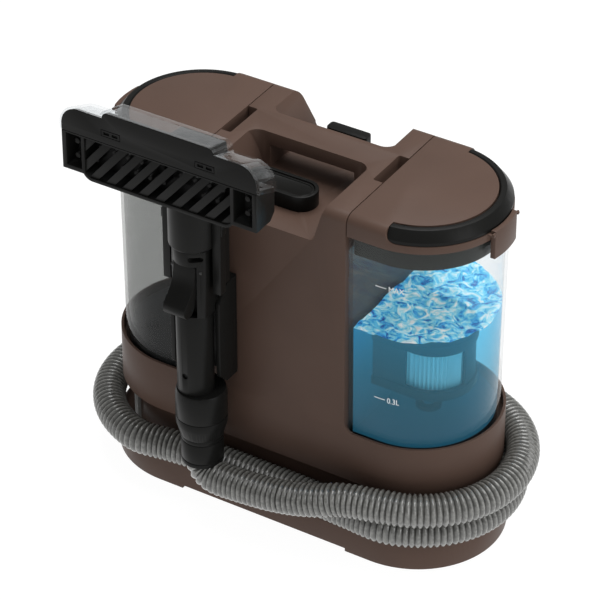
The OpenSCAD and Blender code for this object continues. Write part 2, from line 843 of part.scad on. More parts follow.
// Lever with a finger face that sweeps out to a lip at its lower end
module trigger() {
    half = 8.5;
    color(black) at_wand() translate([-half, 0, 0]) rotate([90, 0, 90]) difference() {
        linear_extrude(2 * half) polygon([
            [-5.2, 222], [-11.2, 222], [-11.8, 215], [-13.4, 209], [-15.8, 204.6], [-18.8, 201],
            [-22, 198.4], [-24.4, 196], [-25.2, 193.2], [-24.6, 190], [-22.4, 187.4], [-19.5, 186.4],
            [-15.5, 187], [-13, 190], [-10.6, 200], [-9.6, 208], [-5.2, 214]]);
        translate([trigger_pin_y - wand_y, trigger_pin_z, -1]) cylinder(r = 1.3, h = 2 * half + 2);
    }
}

module trigger_pin() {
    color(steel) translate([wand_x - 12, trigger_pin_y, trigger_pin_z]) rotate([0, 90, 0])
        cylinder(r = 1.25, h = 24);
}

module trigger_spring() {
    color(steel) at_wand() translate([0, slot_back, 203]) rotate([90, 0, 0]) tube(2.6, 1.9, 0, 5);
}

module spray_valve() {
    color(charcoal) at_wand() translate([0, slot_back, 193]) rotate([90, 0, 0]) cylinder(r = 2.6, h = 3);
}

// ---- nozzle head ----

// A block whose top slopes down towards the back, seen from the front with round upper corners
module head_top_block(half, corner, top, angle, grow) {
    w = half + grow;
    r = corner + grow;
    translate([wand_x, head_front, top + grow]) rotate([-angle, 0, 0]) translate([0, 60, 0])
        rotate([90, 0, 0]) linear_extrude(90) {
            translate([-w, -80]) square([2 * w, 80 - r]);
            translate([-w + r, -80]) square([2 * (w - r), 80]);
            for (s = [-1, 1]) translate([s * (w - r), -r]) circle(r);
        }
}

// Side view of the head, with its lower rear corner cut off
module head_side_view() {
    polygon([[head_front, head_floor - 1], [head_front, 360], [head_rear, 360],
             [head_rear, head_floor + 9], [head_rear - 6, head_floor + 3], [head_rear - 8, head_floor - 1]]);
}

mid_left = -57.2;
mid_right = 55;

module head_block(grow) {
    intersection() {
        union() {
            head_top_block(head_half, 13, head_end_top, split_slope, grow);
            head_top_block(42.4, 4, head_mid_top, 15, grow);
        }
        translate([-200, 0, 0]) rotate([90, 0, 90]) linear_extrude(400) head_side_view();
        union() {
            box([-200, 200], [-150, -50], [head_floor + 4, 400]);
            translate([wand_x, -50, 0]) rotate([90, 0, 0]) linear_extrude(100) lower_middle();
        }
    }
}

// Front view of the middle part, which reaches lower than the two ends
module lower_middle() {
    corner = 8;
    x = [mid_left - 2.4, mid_right + 2.4];
    translate([x[0], head_floor + corner]) square([x[1] - x[0], 30]);
    translate([x[0] + corner, head_floor]) square([x[1] - x[0] - 2 * corner, 30]);
    for (cx = [x[0] + corner, x[1] - corner]) translate([cx, head_floor + corner]) circle(corner);
}

// Everything above the split line, which slopes down towards the back on the sides
module above_split(offset) {
    translate([-200, head_front, head_split + offset]) rotate([-split_slope, 0, 0])
        translate([0, -20, 0]) cube([400, 80, 80]);
}

plate = 4;

module nozzle_body() {
    pocket = 14;
    color(black) difference() {
        union() {
            difference() {
                head_block(0);
                intersection() {
                    above_split(3);
                    box([-200, 200], [head_front + plate, -50], [280, 400]);
                }
            }
            translate([wand_x - 17, 0, 0]) rotate([90, 0, 90]) linear_extrude(34)
                polygon([[head_rear - 1, 300.4], [head_rear - 1, 310], [-92, 314], [-70, 310], [-68, 300.4]]);
        }
        translate([wand_x, 0, 0]) {
            for (x = [[-71.5, mid_left - 2.4], [mid_right + 2.4, 71.5]])
                box(x, [head_front - 1, head_front + pocket], [head_floor + 7, head_split - 1]);
            translate([0, head_front + pocket, 0]) rotate([90, 0, 0]) linear_extrude(pocket + 1)
                intersection() {
                    translate([0, 2.4]) lower_middle();
                    translate([mid_left, head_floor])
                        square([mid_right - mid_left, head_split - 1 - head_floor]);
                }
            head_seams();
        }
        translate([wand_x, wand_y, 299]) cylinder(r = wand_bore, h = 7);
        translate([wand_x, wand_y + 3, 305.5]) rotate([90, 0, 0]) cylinder(r = 4.2, h = 30);
    }
}

// Fine lines on the head: the split between plate and grille frame, and two clip windows
module head_seams() {
    line = 0.5;
    box([-80, 80], [head_front - 1, head_front + line], [head_split, head_split + line]);
    for (s = [-1, 1]) translate([s * 36, 0, 326]) {
        for (z = [-2.6, 2.1]) box([-7.5, 7.5], [head_front - 1, head_front + line], [z, z + line]);
        for (x = [-7.5, 7]) box([x, x + line], [head_front - 1, head_front + line], [-2.6, 2.6]);
        for (x = [-5.5, 1]) box([x, x + 4.5], [head_front - 1, head_front + 1.2], [-1.1, 1.1]);
    }
}

module nozzle_grille() {
    pitch = 12.7;
    color(black) translate([wand_x, 0, 0]) translate([0, head_front + 3.4, 0]) rotate([90, 0, 0])
        linear_extrude(2.6) intersection() {
            for (i = [-5 : 5]) translate([i * pitch, 303]) rotate(-40) square([5.4, 60], center = true);
            translate([0, 2.5]) lower_middle();
            translate([mid_left + 0.1, head_floor])
                square([mid_right - mid_left - 0.2, head_split - 1.1 - head_floor]);
        }
}

module nozzle_pegs() {
    color(black) translate([wand_x, 0, 0]) {
        for (row = [0, 1], i = [-5 : 4]) translate([i * 10.4 + row * 4, head_front + 14, 299 + row * 10])
            rotate([90, 0, 0]) cylinder(r = 2, h = 8);
        for (s = [-1, 1], z = [299, 310]) translate([s * 65.5, head_front + 14, z])
            rotate([90, 0, 0]) cylinder(r = 2, h = 10);
    }
}

module nozzle_hood() {
    color(clear) difference() {
        intersection() {
            head_block(1.8);
            above_split(0.6);
            box([-200, 200], [head_front + 0.2, head_rear], [280, 400]);
        }
        difference() {
            head_block(0.02);
            intersection() {
                above_split(3.05);
                box([-200, 200], [head_rear - 1.8, -50], [280, 400]);
            }
        }
    }
}

module spray_tip() {
    color(black) translate([wand_x, head_front + 11, 0]) {
        translate([0, 0, 318.05]) cylinder(r = 3.5, h = 13.4);
        translate([0, 0, 327]) rotate([90, 0, 0]) cylinder(r = 2, h = 6.6);
    }
}

base_pan();
rubber_feet();
base_screws();
chassis();
main_housing();
handle_grip();
button_bezel();
cord_hook();
tool_cradle();
hose_port();
hose_clips();
vent_grille();
cord_inlet();
motor_bracket();
suction_motor();
fan_housing();
impeller();
motor_shaft();
water_pump();
pump_line();
recovery_duct();
suction_duct();
control_board();
power_button();
button_spring();
clean_tank();
clean_tank_base();
filter_housing();
pleated_filter();
clean_lid();
clean_lid_seal();
clean_handle();
clean_latch();
dirty_tank();
dirty_tank_base();
standpipe();
float_cage();
float_ball();
dirty_lid();
dirty_lid_seal();
dirty_handle();
dirty_latch();
hose();
hose_cuff();
swivel_coupling();
lower_tube();
trigger_housing();
upper_sleeve();
back_shell();
trigger();
trigger_pin();
trigger_spring();
spray_valve();
nozzle_body();
nozzle_grille();
nozzle_pegs();
nozzle_hood();
spray_tip();
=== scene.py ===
"""Looks of the portable carpet cleaner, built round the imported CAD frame. Metres, +Z up, -Y front."""
import json
import math

import bmesh
import bpy
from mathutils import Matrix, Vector, noise


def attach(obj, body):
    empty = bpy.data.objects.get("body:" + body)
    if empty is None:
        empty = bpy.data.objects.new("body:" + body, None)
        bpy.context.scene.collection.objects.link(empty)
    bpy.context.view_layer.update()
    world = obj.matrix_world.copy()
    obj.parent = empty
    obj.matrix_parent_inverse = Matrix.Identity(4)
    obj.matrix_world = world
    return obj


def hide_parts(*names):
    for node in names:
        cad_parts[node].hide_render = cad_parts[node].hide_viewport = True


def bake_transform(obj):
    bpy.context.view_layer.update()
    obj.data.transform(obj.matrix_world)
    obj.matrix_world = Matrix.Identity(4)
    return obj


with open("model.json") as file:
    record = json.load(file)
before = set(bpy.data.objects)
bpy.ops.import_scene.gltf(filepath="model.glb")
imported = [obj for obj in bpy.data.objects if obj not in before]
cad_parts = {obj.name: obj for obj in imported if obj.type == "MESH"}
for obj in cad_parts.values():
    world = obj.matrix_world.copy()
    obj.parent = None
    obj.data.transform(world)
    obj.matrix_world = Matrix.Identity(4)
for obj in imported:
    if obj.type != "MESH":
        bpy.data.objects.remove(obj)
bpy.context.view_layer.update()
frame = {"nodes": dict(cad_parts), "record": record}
MM = 0.001
nodes = frame["nodes"]
record = frame["record"]
slot_of = {s["node"]: s["material_slot"] for s in record["subparts"]}
body_of = {n: b for b, members in record["behaviour"]["bodies"].items() for n in members}

# ---------------------------------------------------------------- camera

CAMERA_AZIMUTH = math.radians(31.62)
CAMERA_ELEVATION = math.radians(35.15)
CAMERA_DISTANCE = 2.3084
CAMERA_LENS = 200.46
CAMERA_TARGET = Vector((-0.0087, 0.0, 0.1465))


def make_camera():
    back = Vector((math.cos(CAMERA_ELEVATION) * math.sin(CAMERA_AZIMUTH),
                   -math.cos(CAMERA_ELEVATION) * math.cos(CAMERA_AZIMUTH),
                   math.sin(CAMERA_ELEVATION)))
    data = bpy.data.cameras.new("camera")
    data.lens = CAMERA_LENS
    data.clip_end = 50
    camera = bpy.data.objects.new("camera", data)
    bpy.context.scene.collection.objects.link(camera)
    camera.location = CAMERA_TARGET + back * CAMERA_DISTANCE
    camera.rotation_euler = back.to_track_quat("Z", "Y").to_euler()
    bpy.context.scene.camera = camera


make_camera()

# ---------------------------------------------------------------- mesh helpers


def new_object(name, mesh):
    piece = bpy.data.objects.new(name, mesh)
    bpy.context.scene.collection.objects.link(piece)
    return piece


def mesh_object(name, vertices, faces, smooth_angle=40):
    mesh = bpy.data.meshes.new(name)
    mesh.from_pydata(vertices, [], faces)
    mesh.validate()
    tidy_normals(mesh, smooth_angle)
    return new_object(name, mesh)


def tidy_normals(mesh, smooth_angle=40):
    work = bmesh.new()
    work.from_mesh(mesh)
    bmesh.ops.recalc_face_normals(work, faces=work.faces)
    work.to_mesh(mesh)
    work.free()
    mesh.shade_smooth()
    mesh.set_sharp_from_angle(angle=math.radians(smooth_angle))


def place(piece, body, slot, material, replaced=()):
    piece.data.materials.clear()
    piece.data.materials.append(material)
    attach(piece, body)
    if replaced:
        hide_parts(*replaced)
    return piece


def apply_modifiers(piece):
    graph = bpy.context.evaluated_depsgraph_get()
    finished = bpy.data.meshes.new_from_object(piece.evaluated_get(graph))
    piece.modifiers.clear()
    piece.data = finished


# ---------------------------------------------------------------- materials


class Nodes:
    """Short calls for building a node material."""

    def __init__(self, name):
        self.material = bpy.data.materials.new(name)
        self.material.use_nodes = True
        self.tree = self.material.node_tree
        self.shader = self.tree.nodes["Principled BSDF"]
        self.output = self.tree.nodes["Material Output"]
        self.place = self.tree.nodes.new("ShaderNodeTexCoord").outputs["Object"]

    def add(self, kind, inputs=None, **settings):
        node = self.tree.nodes.new(kind)
        for key, value in settings.items():
            setattr(node, key, value)
        for key, value in (inputs or {}).items():
            self.plug(value, node.inputs[key])
        return node

    def plug(self, value, socket):
        if isinstance(value, bpy.types.NodeSocket):
            self.tree.links.new(value, socket)
        else:
            socket.default_value = value

    def noise(self, scale, detail=2.0, stretch=None):
        vector = self.place
        if stretch:
            vector = self.add("ShaderNodeMapping", {"Vector": self.place, "Scale": stretch}).outputs[0]
        return self.add("ShaderNodeTexNoise", {"Vector": vector, "Scale": scale, "Detail": detail}).outputs[0]

    def ramp(self, value, stops):
        node = self.add("ShaderNodeValToRGB", {"Fac": value})
        ramp = node.color_ramp
        while len(ramp.elements) < len(stops):
            ramp.elements.new(0.5)
        for element, (place, colour) in zip(ramp.elements, stops):
            element.position = place
            element.color = colour if len(colour) == 4 else (*colour, 1)
        return node.outputs[0]

    def spread(self, value, low, high):
        return self.add("ShaderNodeMapRange", {"Value": value, "To Min": low, "To Max": high}).outputs[0]

    def bump(self, height, strength, distance):
        inputs = {"Height": height, "Strength": strength, "Distance": distance}
        return self.add("ShaderNodeBump", inputs).outputs[0]


def shade(colour, factor):
    return tuple(min(1.0, c * factor) for c in colour[:3]) + (1,)


def moulded(name, colour, roughness, grain=0.0004, bump=0.12, spread=0.05, metallic=0.0, specular=0.3):
    """Moulded plastic, rubber or metal: fine surface grain, slight cloudiness in colour and gloss."""
    m = Nodes(name)
    cloudy = m.noise(22, 3)
    fine = m.noise(1 / grain, 2)
    m.plug(m.ramp(cloudy, [(0.3, shade(colour, 1 - spread)), (0.7, shade(colour, 1 + spread))]),
           m.shader.inputs["Base Color"])
    m.plug(m.spread(m.noise(60, 4), roughness - 0.05, roughness + 0.05), m.shader.inputs["Roughness"])
    m.plug(m.bump(fine, bump, 0.0001), m.shader.inputs["Normal"])
    m.shader.inputs["Metallic"].default_value = metallic
    m.shader.inputs["Specular IOR Level"].default_value = specular
    return m.material


def skin_share(m, normal, head_on, edge_on, power):
    """Share of gloss on a clear skin: little when seen square on, most when seen along it."""
    facing = m.add("ShaderNodeLayerWeight", {"Blend": 0.5, "Normal": normal}).outputs["Facing"]
    steep = m.add("ShaderNodeMath", {0: facing, 1: power}, operation="POWER").outputs[0]
    return m.spread(steep, head_on, edge_on)


def clear_plastic(name, tint, haze, roughness=0.03):
    """Clear moulding: tinted see-through body, a little haze, and a glossy skin strongest at a glance."""
    m = Nodes(name)
    tree = m.tree
    normal = m.bump(m.noise(9, 2, stretch=(1, 1, 0.25)), 0.02, 0.002)
    see = m.add("ShaderNodeBsdfTransparent", {"Color": shade(tint, 1)}).outputs[0]
    m.shader.inputs["Base Color"].default_value = (0.30, 0.31, 0.31, 1)
    m.plug(m.spread(m.noise(40, 3), 0.3, 0.4), m.shader.inputs["Roughness"])
    m.shader.inputs["Specular IOR Level"].default_value = 0.0
    body = m.add("ShaderNodeMixShader", {"Fac": haze})
    tree.links.new(see, body.inputs[1])
    tree.links.new(m.shader.outputs[0], body.inputs[2])
    gloss = m.add("ShaderNodeBsdfGlossy",
                  {"Color": (0.8, 0.8, 0.8, 1), "Roughness": roughness, "Normal": normal})
    skin = m.add("ShaderNodeMixShader", {"Fac": skin_share(m, normal, 0.012, 0.5, 4.5)})
    tree.links.new(body.outputs[0], skin.inputs[1])
    tree.links.new(gloss.outputs[0], skin.inputs[2])
    tree.links.new(skin.outputs[0], m.output.inputs["Surface"])
    return m.material


BROWN = (0.090, 0.056, 0.043)
BLACK = (0.0085, 0.0085, 0.008)
materials = {
    "brown_shell": moulded("brown_shell", BROWN, 0.42, bump=0.10, specular=0.12),
    "black_plastic": moulded("black_plastic", BLACK, 0.34, bump=0.08, specular=0.10),
    "rubber": moulded("rubber", (0.02, 0.02, 0.02), 0.75, bump=0.3),
    "seal_rubber": moulded("seal_rubber", (0.020, 0.022, 0.019), 0.4, bump=0.1, specular=0.12),
    "dark_grey_plastic": moulded("dark_grey_plastic", (0.028, 0.033, 0.038), 0.45, specular=0.15),
    "grey_plastic": moulded("grey_plastic", (0.33, 0.33, 0.32), 0.5),
    "steel": moulded("steel", (0.62, 0.62, 0.64), 0.3, metallic=1.0),
    "blackened_steel": moulded("blackened_steel", (0.05, 0.05, 0.05), 0.45),
    "motor_metal": moulded("motor_metal", (0.6, 0.6, 0.62), 0.4, metallic=1.0),
    "circuit_board": moulded("circuit_board", (0.03, 0.16, 0.08), 0.4),
    "filter_paper": moulded("filter_paper", (0.8, 0.8, 0.78), 0.85, grain=0.0002, bump=0.4),
    "float_plastic": moulded("float_plastic", (0.65, 0.28, 0.07), 0.5),
    "clear_tank": clear_plastic("clear_tank", (0.95, 0.96, 0.965), 0.008),
    "smoked_tank": clear_plastic("smoked_tank", (0.68, 0.685, 0.68), 0.03),
}

# ---------------------------------------------------------------- suction hose

HOSE_D = 24 * MM
HOSE_PITCH = 3.9 * MM
HOSE_RIB = 1.5 * MM
RINGS_PER_RIB = 6
HOSE_SIDES = 28
RIB_SHARPNESS = 0.6
TAIL_SHARE, TAIL_X, TAIL_Y = 0.7, 30 * MM, -70 * MM
RIB_HEIGHT = "rib_height"
END_X = 87
HOSE_LOW_R, HOSE_LEFT_R, HOSE_HIGH_R = 66, 74, 73
HOSE_FRONT_Y = -62.4
HOSE_LOW_Z, HOSE_HIGH_Z = 36, 58.5
CUFF_X, CUFF_Y = -36.5, -83.5


def arc(centre, r0, r1, z0, z1, a0, a1, count):
    points = []
    for i in range(count + 1):
        t = i / count
        angle = math.radians(a0 + (a1 - a0) * t)
        radius = r0 + (r1 - r0) * t
        points.append((centre + radius * math.cos(angle), radius * math.sin(angle), z0 + (z1 - z0) * t))
    return points


hose_route = (
    [(62, 66, 35)]
    + arc(END_X, HOSE_LOW_R, HOSE_LOW_R, 35, HOSE_LOW_Z, 90, -80, 9)
    + [(70, -64, HOSE_LOW_Z), (30, HOSE_FRONT_Y, HOSE_LOW_Z), (-10, HOSE_FRONT_Y, HOSE_LOW_Z),
       (-45, HOSE_FRONT_Y, HOSE_LOW_Z), (-75, -65, HOSE_LOW_Z)]
    + arc(-END_X, 69, HOSE_LEFT_R, HOSE_LOW_Z, 37, -100, -270, 10)
    + [(-60, 73.5, 39.5), (-20, 73, 48), (15, 73, 56), (50, 73, HOSE_HIGH_Z)]
    + arc(END_X, HOSE_HIGH_R, HOSE_HIGH_R, HOSE_HIGH_Z, HOSE_HIGH_Z, 90, -80, 10)
    + [(75, -77.5, 57.4), (58, -82, 53.4), (40, -85, 49.4), (22, -86.5, 46.6), (5, -87, 45),
       (-10, -87, 43.8), (-20, -86.8, 43.2), (-27.5, -86, 43.8), (-32.8, -85, 46.4),
       (-35.6, -84.2, 50), (CUFF_X, CUFF_Y, 54)]
)
hose_route = [Vector(p) * MM for p in hose_route]


def smooth_curve(points, steps=24):
    """Catmull-Rom curve through the points."""
    out = []
    last = len(points) - 1
    for i in range(last):
        a, b, c, d = (points[max(0, min(last, k))] for k in (i - 1, i, i + 1, i + 2))
        for k in range(steps):
            t = k / steps
            out.append(0.5 * (2 * b + (c - a) * t + (2 * a - 5 * b + 4 * c - d) * t * t
                              + (3 * b - a - 3 * c + d) * t ** 3))
    out.append(points[-1].copy())
    return out


def even_points(points, step):
    """The same line with points a fixed step apart."""
    total = sum((b - a).length for a, b in zip(points, points[1:]))
    count = max(2, round(total / step))
    out, travelled, target, i = [points[0].copy()], 0.0, total / count, 0
    while len(out) < count:
        span = (points[i + 1] - points[i]).length
        if travelled + span >= target * len(out) - 1e-12:
            share = (target * len(out) - travelled) / span
            out.append(points[i].lerp(points[i + 1], share))
        else:
            travelled += span
            i += 1
    out.append(points[-1].copy())
    return out, total


def ribbed_tube(name, line, first, last):
    """Corrugated tube along line[first..last]; the rib phase runs along the whole line."""
    vertices, faces, rings = [], [], []
    side = Vector((0, 1, 0))
    for i, point in enumerate(line):
        ahead = (line[min(i + 1, len(line) - 1)] - line[max(i - 1, 0)]).normalized()
        side = (side - ahead * side.dot(ahead)).normalized()
        if first <= i <= last:
            rise = side.cross(ahead)
            phase = (i % RINGS_PER_RIB) / RINGS_PER_RIB
            crest = (0.5 - 0.5 * math.cos(2 * math.pi * phase)) ** RIB_SHARPNESS
            radius = HOSE_D / 2 - HOSE_RIB * (1 - crest)
            rings.append((point, side.copy(), rise, radius, crest))
    for point, across, rise, radius, crest in rings:
        for k in range(HOSE_SIDES):
            a = 2 * math.pi * k / HOSE_SIDES
            vertices.append(point + (across * math.cos(a) + rise * math.sin(a)) * radius)
    for i in range(len(rings) - 1):
        a, b = i * HOSE_SIDES, (i + 1) * HOSE_SIDES
        for k in range(HOSE_SIDES):
            n = (k + 1) % HOSE_SIDES
            faces.append((a + k, a + n, b + n, b + k))
    faces.append(tuple(range(HOSE_SIDES - 1, -1, -1)))
    faces.append(tuple((len(rings) - 1) * HOSE_SIDES + k for k in range(HOSE_SIDES)))
    tube = mesh_object(name, vertices, faces, smooth_angle=70)
    # Rib height per point, which the hose material uses to paint highlights on the crests and shade in the
    # valleys.
    height = tube.data.attributes.new(RIB_HEIGHT, "FLOAT", "POINT")
    height.data.foreach_set("value", [ring[4] for ring in rings for _ in range(HOSE_SIDES)])
    return tube


def hose_material():
    """Smoked, slightly see-through corrugated plastic, glossy: the pale crests are a painted highlight and the
    dark valleys are painted shade.
    """
    m = Nodes("hose_ribs")
    streaks = m.noise(420, 4)
    # Rib height drives painted light: the crest colour is a painted highlight and the valley colour is painted
    # shade.
    crest_highlight_share = m.add("ShaderNodeAttribute", attribute_name=RIB_HEIGHT).outputs["Fac"]
    crest = m.ramp(streaks, [(0.3, (0.12, 0.12, 0.112)), (0.7, (0.25, 0.25, 0.235))])
    valley_shade = (0.045, 0.045, 0.041, 1)
    colour = m.add("ShaderNodeMix", {"Factor": crest_highlight_share}, data_type="RGBA")
    m.plug(valley_shade, colour.inputs[6])
    m.plug(crest, colour.inputs[7])
    m.plug(colour.outputs[2], m.shader.inputs["Base Color"])
    m.plug(m.spread(m.noise(120, 3), 0.14, 0.26), m.shader.inputs["Roughness"])
    m.shader.inputs["Specular IOR Level"].default_value = 0.55
    m.shader.inputs["Coat Weight"].default_value = 0.6
    m.shader.inputs["Coat Roughness"].default_value = 0.12
    m.plug(m.bump(m.noise(700, 2), 0.1, 0.0002), m.shader.inputs["Normal"])
    return m.material


def make_hose():
    """The wound part of the hose rides on the machine, and its last part bends towards the hand tool."""
    line, total = even_points(smooth_curve(hose_route), HOSE_PITCH / RINGS_PER_RIB)
    tail_start = next(i for i, p in enumerate(line)
                      if i > len(line) * TAIL_SHARE and p.x < TAIL_X and p.y < TAIL_Y)
    tail_start -= tail_start % RINGS_PER_RIB
    main = ribbed_tube("suction_hose", line, 0, tail_start)
    tail = ribbed_tube("suction_hose_tail", line, tail_start, len(line) - 1)
    look = hose_material()
    for piece in (main, tail):
        piece.data.materials.append(look)
    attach(main, "machine")
    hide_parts("hose")
    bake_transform(tail)


make_hose()

# ---------------------------------------------------------------- CAD shells with softened edges


def softened(node, width=0.5, segments=2, sharp=35):
    """A copy of a CAD node's mesh with small rounded edges, standing for the node."""
    mesh = nodes[node].data.copy()
    work = bmesh.new()
    work.from_mesh(mesh)
    bmesh.ops.remove_doubles(work, verts=work.verts, dist=1e-6)
    bmesh.ops.dissolve_limit(work, angle_limit=math.radians(0.6), verts=work.verts, edges=work.edges)
    work.to_mesh(mesh)
    work.free()
    piece = new_object(node + "_moulding", mesh)
    bevel = piece.modifiers.new("edges", "BEVEL")
    bevel.width = width * MM
    bevel.segments = segments
    bevel.limit_method = "ANGLE"
    bevel.angle_limit = math.radians(sharp)
    bevel.use_clamp_overlap = True
    bevel.harden_normals = False
    apply_modifiers(piece)
    piece.data.shade_smooth()
    piece.data.set_sharp_from_angle(angle=math.radians(32))
    return place(piece, body_of[node], slot_of[node], materials[slot_of[node]], [node])


SOFT_EDGES = {
    "main_housing": 1.2, "chassis": 0.6, "base_pan": 0.8, "clean_lid": 0.7, "dirty_lid": 0.7,
    "clean_latch": 0.7, "dirty_latch": 0.7, "clean_handle": 0.5, "dirty_handle": 0.5, "button_bezel": 0.7,
    "power_button": 0.4, "cord_hook": 0.7, "tool_cradle": 0.6, "hose_port": 0.6, "vent_grille": 0.4,
    "cord_inlet": 0.5, "hose_cuff": 0.4, "swivel_coupling": 0.4, "lower_tube": 0.3,
    "trigger_housing": 0.9, "upper_sleeve": 0.5, "back_shell": 0.8, "trigger": 1.2,
    "nozzle_body": 0.4, "nozzle_grille": 0.3, "nozzle_pegs": 0.3, "handle_grip": 0.4,
    "filter_housing": 0.8, "hose_clips": 0.4, "clean_tank_base": 0.5, "dirty_tank_base": 0.5,
    "clean_lid_seal": 0.5, "dirty_lid_seal": 0.5, "nozzle_hood": 0.5,
}
for node_name, edge in SOFT_EDGES.items():
    softened(node_name, edge)

for node_name, obj in nodes.items():
    if node_name not in SOFT_EDGES and not obj.hide_render:
        look_name = "blackened_steel" if node_name == "trigger_pin" else slot_of[node_name]
        obj.data.materials.clear()
        obj.data.materials.append(materials[look_name])

# ---------------------------------------------------------------- clean tank: water, marks, filter

TANK_TOP_R, TANK_TAPER, TANK_WALL = 57.6, 1.4, 2.2
TANK_FOOT_Z, TANK_TOP_Z = 89.5, 259.2
TANK_FLAT_X = 66.2
WATER_Z, WATER_FLOOR_Z = 184, 97.8
WATER_GAP = 0.3
ARC_STEPS, SIDE_STEPS, FLAT_STEPS = 64, 7, 30


def tank_radius(z):
    """Outer radius of the tank at height z."""
    return TANK_TOP_R - TANK_TAPER * (TANK_TOP_Z - z) / (TANK_TOP_Z - TANK_FOOT_Z)


def d_outline(radius, flat_x):
    """Points round a D: along the front, round the end, along the back and down the flat."""
    points = [(flat_x + (END_X - flat_x) * i / SIDE_STEPS, -radius) for i in range(SIDE_STEPS)]
    for i in range(ARC_STEPS):
        a = math.radians(-90 + 180 * i / ARC_STEPS)
        points.append((END_X + radius * math.cos(a), radius * math.sin(a)))
    points += [(END_X + (flat_x - END_X) * i / SIDE_STEPS, radius) for i in range(SIDE_STEPS)]
    points += [(flat_x, radius - 2 * radius * i / FLAT_STEPS) for i in range(FLAT_STEPS)]
    return points


SWELL_WIDTH, SWELL_RISE = 21, 3.2
RIPPLE_WIDTH, RIPPLE_RISE, RIPPLE_PLACE = 7, 1.5, Vector((3, 1, 5))
FINE_WIDTH, FINE_RISE, FINE_PLACE = 3.1, 0.5, Vector((9, 4, 2))
RIDGE_RISE, RIDGE_REACH, RIDGE_WIDTH = 1.6, 0.9, 0.09


def wave_height(x, y):
    """Choppy water: broad swells, smaller ripples and a ridge pushed up near the wall."""
    p = Vector((x, y, 0))
    reach = min(1.0, math.hypot(x - END_X, y) / TANK_TOP_R)
    swell = noise.noise(p / SWELL_WIDTH) * SWELL_RISE
    ripple = noise.noise(p / RIPPLE_WIDTH + RIPPLE_PLACE) * RIPPLE_RISE
    fine = noise.noise(p / FINE_WIDTH + FINE_PLACE) * FINE_RISE
    ridge = RIDGE_RISE * math.exp(-((reach - RIDGE_REACH) / RIDGE_WIDTH) ** 2)
    return swell + ripple * (0.6 + 0.6 * reach) + fine + ridge


WATER_LEVELS, WATER_RINGS = 22, 40
WATER_CENTRE = Vector((98, 0))


def make_water():
    """The water: a body that fills the tank up to its choppy surface, and the surface as a second material."""
    edge = d_outline(tank_radius(WATER_Z) - TANK_WALL - WATER_GAP, TANK_FLAT_X + WATER_GAP)
    count = len(edge)
    top = [WATER_Z + wave_height(x, y) for x, y in edge]

    def rim(heights):
        return [(*d_outline(tank_radius(z) - TANK_WALL - WATER_GAP, TANK_FLAT_X + WATER_GAP)[k], z)
                for k, z in enumerate(heights)]

    low, high = rim([WATER_FLOOR_Z] * count), rim(top)
    vertices, faces = [], []
    for level in range(WATER_LEVELS + 1):
        share = level / WATER_LEVELS
        vertices += [[a + (b - a) * share for a, b in zip(low[k], high[k])] for k in range(count)]
    for level in range(WATER_LEVELS):
        a, b = level * count, (level + 1) * count
        faces += [(a + k, a + (k + 1) % count, b + (k + 1) % count, b + k) for k in range(count)]
    faces.append(tuple(range(count - 1, -1, -1)))
    body_faces = len(faces)
    previous = WATER_LEVELS * count
    for ring in range(1, WATER_RINGS):
        shrink = 1 - ring / WATER_RINGS
        start = len(vertices)
        for x, y, _ in high:
            p = WATER_CENTRE + (Vector((x, y)) - WATER_CENTRE) * shrink
            vertices.append([p.x, p.y, WATER_Z + wave_height(p.x, p.y)])
        for k in range(count):
            n = (k + 1) % count
            faces.append((previous + k, previous + n, start + n, start + k))
        previous = start
    vertices.append([*WATER_CENTRE, WATER_Z + wave_height(*WATER_CENTRE)])
    faces += [(previous + k, previous + (k + 1) % count, len(vertices) - 1) for k in range(count)]
    piece = mesh_object("water", [Vector(v) * MM for v in vertices], faces, smooth_angle=60)
    place(piece, "clean_tank", "clear_tank", water_body_material())
    piece.data.materials.append(water_top_material())
    for face in piece.data.polygons:
        face.material_index = int(face.index >= body_faces)


def see_through(m, share, tint):
    """Mixes the material's shader with a tinted clear one; share is how solid it looks."""
    see = m.add("ShaderNodeBsdfTransparent", {"Color": tint}).outputs[0]
    mix = m.add("ShaderNodeMixShader", {"Fac": share})
    m.tree.links.new(see, mix.inputs[1])
    m.tree.links.new(m.shader.outputs[0], mix.inputs[2])
    m.tree.links.new(mix.outputs[0], m.output.inputs["Surface"])
    return mix


def water_body_material():
    """Blue water seen through the tank, with painted light: bright and cyan near the surface, painted shade
    down to dull teal at the bottom, and a faint painted glow.
    """
    m = Nodes("water_body")
    height = m.add("ShaderNodeSeparateXYZ", {"Vector": m.place}).outputs["Z"]
    depth = m.add("ShaderNodeMapRange", {"Value": height, "From Min": 0.098, "From Max": 0.184}).outputs[0]
    # Height ramps paint light near the surface and shade towards the bottom.
    tint = m.ramp(depth, [(0.0, (0.46, 0.72, 0.82)), (0.6, (0.44, 0.77, 0.90)), (1.0, (0.38, 0.80, 0.98))])
    solid = m.ramp(depth, [(0.0, (0.04, 0.21, 0.31)), (0.55, (0.04, 0.31, 0.46)), (1.0, (0.04, 0.46, 0.74))])
    m.plug(solid, m.shader.inputs["Base Color"])
    m.shader.inputs["Roughness"].default_value = 0.2
    m.shader.inputs["Specular IOR Level"].default_value = 0.1
    rim = m.add("ShaderNodeLayerWeight", {"Blend": 0.5}).outputs["Facing"]
    mix = see_through(m, m.spread(rim, 0.03, 0.30), tint)
    # A faint emission of the water colour: painted glow, the water is no lamp.
    painted_glow = m.add("ShaderNodeEmission", {"Color": solid, "Strength": 0.16})
    both = m.add("ShaderNodeAddShader")
    m.tree.links.new(mix.outputs[0], both.inputs[0])
    m.tree.links.new(painted_glow.outputs[0], both.inputs[1])
    m.tree.links.new(both.outputs[0], m.output.inputs["Surface"])
    return m.material


